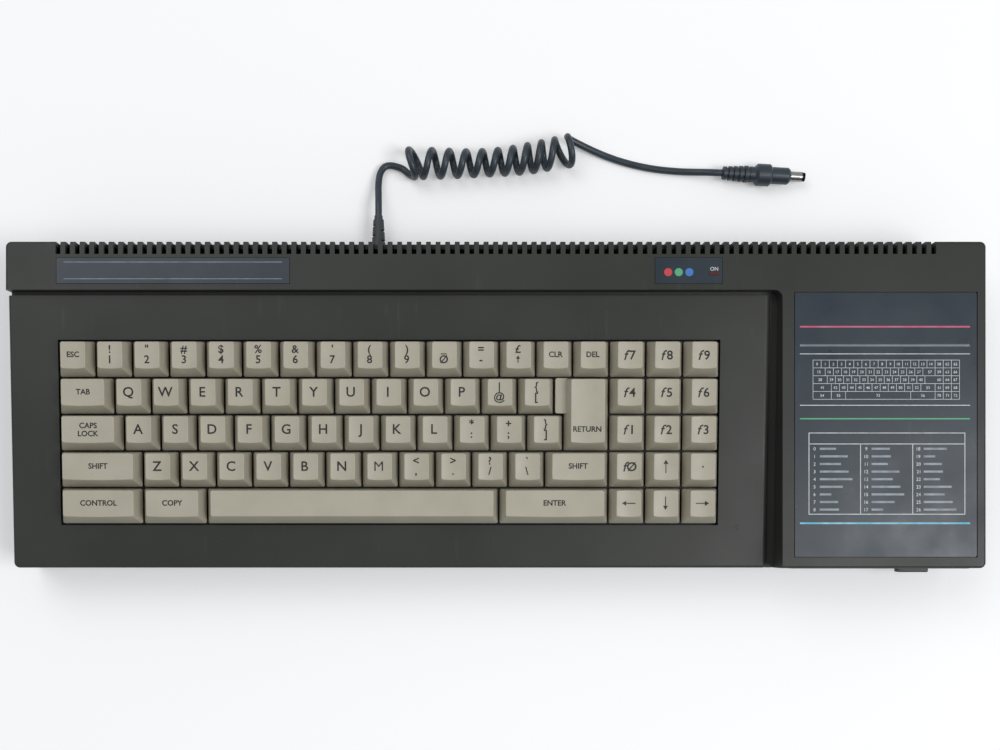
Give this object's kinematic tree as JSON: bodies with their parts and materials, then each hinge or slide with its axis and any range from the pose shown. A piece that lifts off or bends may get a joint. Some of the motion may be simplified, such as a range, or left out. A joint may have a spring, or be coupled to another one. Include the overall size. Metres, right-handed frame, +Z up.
{
  "type": "home computer",
  "caption": "Flat home computer with a full sloping keyboard, a disc drive block at the right, vents along the back ridge and a curly power lead.",
  "frame": {"origin": "on the table under the middle of the case", "axes": "+X to the right of the person typing, along the case; +Y to the back; +Z up"},
  "size_m": [0.5126, 0.2424, 0.0505],
  "materials": {
    "case_plastic": "fine matt grain, dark grey",
    "foot_rubber": "matt black",
    "screw_steel": "plain steel",
    "panel_print": "satin blue-grey film with printed chart",
    "plate_print": "satin blue-grey film",
    "lamp_red": "dark red, clear",
    "bezel_plastic": "matt black",
    "board_green": "green laminate",
    "chip_black": "matt black",
    "socket_black": "matt black",
    "drive_steel": "zinc-coloured sheet",
    "wheel_alloy": "turned alloy",
    "motor_can": "drawn can",
    "belt_rubber": "matt black",
    "key_cream": "cream, black printed legends",
    "frame_black": "matt black",
    "spring_steel": "plain steel",
    "plate_steel": "zinc-coloured sheet",
    "cord_slate": "slate grey, slightly glossy",
    "contact_metal": "nickel plate, dark insulated tip"
  },
  "bodies": {
    "case": {"board_chips": "chip_black", "bottom_case": "case_plastic", "case_screws": "screw_steel", "din_sockets": "socket_black", "drive_belt": "belt_rubber", "drive_bezel": "bezel_plastic", "drive_chassis": "drive_steel", "drive_motor": "motor_can", "drive_panel": "panel_print", "indicator_lamps": "lamp_red", "indicator_plate": "plate_print", "jack_sockets": "socket_black", "joystick_port": "drive_steel", "key_springs": "spring_steel", "keyboard_backplate": "plate_steel", "keyboard_frame": "frame_black", "lead_curls": "cord_slate", "lead_start": "cord_slate", "lead_tail": "cord_slate", "main_board": "board_green", "name_plate": "plate_print", "plug_body": "cord_slate", "plug_contact": "contact_metal", "rubber_feet": "foot_rubber", "strain_relief": "cord_slate", "top_case": "case_plastic"},
    "caps_lock_key": {"caps_lock_key": "key_cream"},
    "clear_delete_keys": {"clear_delete_keys": "key_cream"},
    "control_key": {"control_key": "key_cream"},
    "copy_key": {"copy_key": "key_cream"},
    "cursor_keys": {"cursor_keys": "key_cream"},
    "enter_key": {"enter_key": "key_cream"},
    "escape_key": {"escape_key": "key_cream"},
    "function_keys_left": {"function_keys_left": "key_cream"},
    "function_keys_middle": {"function_keys_middle": "key_cream"},
    "function_keys_right": {"function_keys_right": "key_cream"},
    "key_column_01": {"key_column_01": "key_cream"},
    "key_column_02": {"key_column_02": "key_cream"},
    "key_column_03": {"key_column_03": "key_cream"},
    "key_column_04": {"key_column_04": "key_cream"},
    "key_column_05": {"key_column_05": "key_cream"},
    "key_column_06": {"key_column_06": "key_cream"},
    "key_column_07": {"key_column_07": "key_cream"},
    "key_column_08": {"key_column_08": "key_cream"},
    "key_column_09": {"key_column_09": "key_cream"},
    "key_column_10": {"key_column_10": "key_cream"},
    "key_column_11": {"key_column_11": "key_cream"},
    "key_column_12": {"key_column_12": "key_cream"},
    "return_key": {"return_key": "key_cream"},
    "shift_left_key": {"shift_left_key": "key_cream"},
    "shift_right_key": {"shift_right_key": "key_cream"},
    "space_bar": {"space_bar": "key_cream"},
    "tab_key": {"tab_key": "key_cream"},
    "volume_wheel": {"volume_wheel": "bezel_plastic"},
    "power_switch": {"power_switch": "bezel_plastic"},
    "drive_flap": {"drive_flap": "bezel_plastic"},
    "eject_button": {"eject_button": "bezel_plastic"},
    "spindle_flywheel": {"spindle_flywheel": "wheel_alloy"},
    "motor_pulley": {"motor_pulley": "wheel_alloy"},
    "head_carriage": {"head_carriage": "bezel_plastic"}
  },
  "joints": [
    {"name": "caps_lock_key_press", "type": "slide", "parent": "case", "child": "caps_lock_key", "axis": [0, 0.0558, -0.9984], "range_m": [0, 0.0035], "stiffness_N_per_m": 200, "springref_m": -0.002},
    {"name": "clear_delete_keys_press", "type": "slide", "parent": "case", "child": "clear_delete_keys", "axis": [0, 0.0558, -0.9984], "range_m": [0, 0.0035], "stiffness_N_per_m": 200, "springref_m": -0.002},
    {"name": "control_key_press", "type": "slide", "parent": "case", "child": "control_key", "axis": [0, 0.0558, -0.9984], "range_m": [0, 0.0035], "stiffness_N_per_m": 200, "springref_m": -0.002},
    {"name": "copy_key_press", "type": "slide", "parent": "case", "child": "copy_key", "axis": [0, 0.0558, -0.9984], "range_m": [0, 0.0035], "stiffness_N_per_m": 200, "springref_m": -0.002},
    {"name": "cursor_keys_press", "type": "slide", "parent": "case", "child": "cursor_keys", "axis": [0, 0.0558, -0.9984], "range_m": [0, 0.0035], "stiffness_N_per_m": 200, "springref_m": -0.002},
    {"name": "enter_key_press", "type": "slide", "parent": "case", "child": "enter_key", "axis": [0, 0.0558, -0.9984], "range_m": [0, 0.0035], "stiffness_N_per_m": 200, "springref_m": -0.002},
    {"name": "escape_key_press", "type": "slide", "parent": "case", "child": "escape_key", "axis": [0, 0.0558, -0.9984], "range_m": [0, 0.0035], "stiffness_N_per_m": 200, "springref_m": -0.002},
    {"name": "function_keys_left_press", "type": "slide", "parent": "case", "child": "function_keys_left", "axis": [0, 0.0558, -0.9984], "range_m": [0, 0.0035], "stiffness_N_per_m": 200, "springref_m": -0.002},
    {"name": "function_keys_middle_press", "type": "slide", "parent": "case", "child": "function_keys_middle", "axis": [0, 0.0558, -0.9984], "range_m": [0, 0.0035], "stiffness_N_per_m": 200, "springref_m": -0.002},
    {"name": "function_keys_right_press", "type": "slide", "parent": "case", "child": "function_keys_right", "axis": [0, 0.0558, -0.9984], "range_m": [0, 0.0035], "stiffness_N_per_m": 200, "springref_m": -0.002},
    {"name": "key_column_01_press", "type": "slide", "parent": "case", "child": "key_column_01", "axis": [0, 0.0558, -0.9984], "range_m": [0, 0.0035], "stiffness_N_per_m": 200, "springref_m": -0.002},
    {"name": "key_column_02_press", "type": "slide", "parent": "case", "child": "key_column_02", "axis": [0, 0.0558, -0.9984], "range_m": [0, 0.0035], "stiffness_N_per_m": 200, "springref_m": -0.002},
    {"name": "key_column_03_press", "type": "slide", "parent": "case", "child": "key_column_03", "axis": [0, 0.0558, -0.9984], "range_m": [0, 0.0035], "stiffness_N_per_m": 200, "springref_m": -0.002},
    {"name": "key_column_04_press", "type": "slide", "parent": "case", "child": "key_column_04", "axis": [0, 0.0558, -0.9984], "range_m": [0, 0.0035], "stiffness_N_per_m": 200, "springref_m": -0.002},
    {"name": "key_column_05_press", "type": "slide", "parent": "case", "child": "key_column_05", "axis": [0, 0.0558, -0.9984], "range_m": [0, 0.0035], "stiffness_N_per_m": 200, "springref_m": -0.002},
    {"name": "key_column_06_press", "type": "slide", "parent": "case", "child": "key_column_06", "axis": [0, 0.0558, -0.9984], "range_m": [0, 0.0035], "stiffness_N_per_m": 200, "springref_m": -0.002},
    {"name": "key_column_07_press", "type": "slide", "parent": "case", "child": "key_column_07", "axis": [0, 0.0558, -0.9984], "range_m": [0, 0.0035], "stiffness_N_per_m": 200, "springref_m": -0.002},
    {"name": "key_column_08_press", "type": "slide", "parent": "case", "child": "key_column_08", "axis": [0, 0.0558, -0.9984], "range_m": [0, 0.0035], "stiffness_N_per_m": 200, "springref_m": -0.002},
    {"name": "key_column_09_press", "type": "slide", "parent": "case", "child": "key_column_09", "axis": [0, 0.0558, -0.9984], "range_m": [0, 0.0035], "stiffness_N_per_m": 200, "springref_m": -0.002},
    {"name": "key_column_10_press", "type": "slide", "parent": "case", "child": "key_column_10", "axis": [0, 0.0558, -0.9984], "range_m": [0, 0.0035], "stiffness_N_per_m": 200, "springref_m": -0.002},
    {"name": "key_column_11_press", "type": "slide", "parent": "case", "child": "key_column_11", "axis": [0, 0.0558, -0.9984], "range_m": [0, 0.0035], "stiffness_N_per_m": 200, "springref_m": -0.002},
    {"name": "key_column_12_press", "type": "slide", "parent": "case", "child": "key_column_12", "axis": [0, 0.0558, -0.9984], "range_m": [0, 0.0035], "stiffness_N_per_m": 200, "springref_m": -0.002},
    {"name": "return_key_press", "type": "slide", "parent": "case", "child": "return_key", "axis": [0, 0.0558, -0.9984], "range_m": [0, 0.0035], "stiffness_N_per_m": 200, "springref_m": -0.002},
    {"name": "shift_left_key_press", "type": "slide", "parent": "case", "child": "shift_left_key", "axis": [0, 0.0558, -0.9984], "range_m": [0, 0.0035], "stiffness_N_per_m": 200, "springref_m": -0.002},
    {"name": "shift_right_key_press", "type": "slide", "parent": "case", "child": "shift_right_key", "axis": [0, 0.0558, -0.9984], "range_m": [0, 0.0035], "stiffness_N_per_m": 200, "springref_m": -0.002},
    {"name": "space_bar_press", "type": "slide", "parent": "case", "child": "space_bar", "axis": [0, 0.0558, -0.9984], "range_m": [0, 0.0035], "stiffness_N_per_m": 200, "springref_m": -0.002, "deforming": ["key_springs"]},
    {"name": "tab_key_press", "type": "slide", "parent": "case", "child": "tab_key", "axis": [0, 0.0558, -0.9984], "range_m": [0, 0.0035], "stiffness_N_per_m": 200, "springref_m": -0.002},
    {"name": "volume_turn", "type": "hinge", "parent": "case", "child": "volume_wheel", "pos_m": [-0.2473, -0.02, 0.0158], "axis": [0, 0, 1], "range_deg": [-135, 135]},
    {"name": "power_slide", "type": "slide", "parent": "case", "child": "power_switch", "axis": [0, 1, 0], "range_m": [0, 0.004]},
    {"name": "flap_swing", "type": "hinge", "parent": "case", "child": "drive_flap", "pos_m": [0.202, -0.08315, 0.029], "axis": [1, 0, 0], "range_deg": [0, 75], "stiffness_Nm_per_rad": 0.0005, "springref_deg": -28.65},
    {"name": "eject_press", "type": "slide", "parent": "case", "child": "eject_button", "axis": [0, 1, 0], "range_m": [0, 0.0025], "stiffness_N_per_m": 150, "springref_m": -0.002},
    {"name": "spindle_spin", "type": "hinge", "parent": "case", "child": "spindle_flywheel", "pos_m": [0.202, -0.02, 0.013], "axis": [0, 0, 1], "continuous": true},
    {"name": "motor_spin", "type": "hinge", "parent": "case", "child": "motor_pulley", "pos_m": [0.171, 0.034, 0.013], "axis": [0, 0, 1], "continuous": true},
    {"name": "carriage_slide", "type": "slide", "parent": "case", "child": "head_carriage", "axis": [0, -1, 0], "range_m": [0, 0.014]}
  ],
  "couplings": [
    {"joint": "motor_spin", "follows": "spindle_spin", "ratio": 5.4545}
  ]
}
